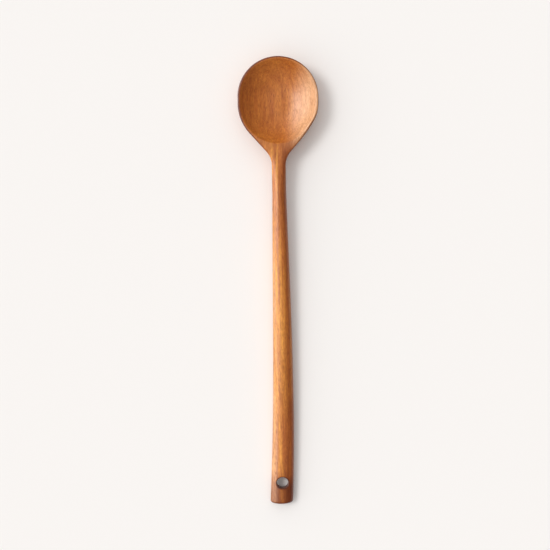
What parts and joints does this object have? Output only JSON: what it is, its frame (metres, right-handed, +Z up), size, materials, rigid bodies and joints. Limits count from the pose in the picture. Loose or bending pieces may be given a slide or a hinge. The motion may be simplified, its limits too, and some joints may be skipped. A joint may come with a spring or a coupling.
{
  "type": "wooden cooking spoon",
  "caption": "Cooking spoon carved from one piece of hardwood, with a deep round bowl, a slim neck, a long tapered handle and a hanging hole.",
  "frame": {"origin": "middle of the spoon's length and width, on the table that it lies on with its hollow up", "axes": "+Y from the handle to the front of the bowl, +Z up out of the hollow, +X to the right with the bowl pointing away"},
  "size_m": [0.0548, 0.3048, 0.0164],
  "materials": {
    "wood": "oiled, satin"
  },
  "bodies": {
    "root": {"spoon": "wood"}
  },
  "joints": []
}
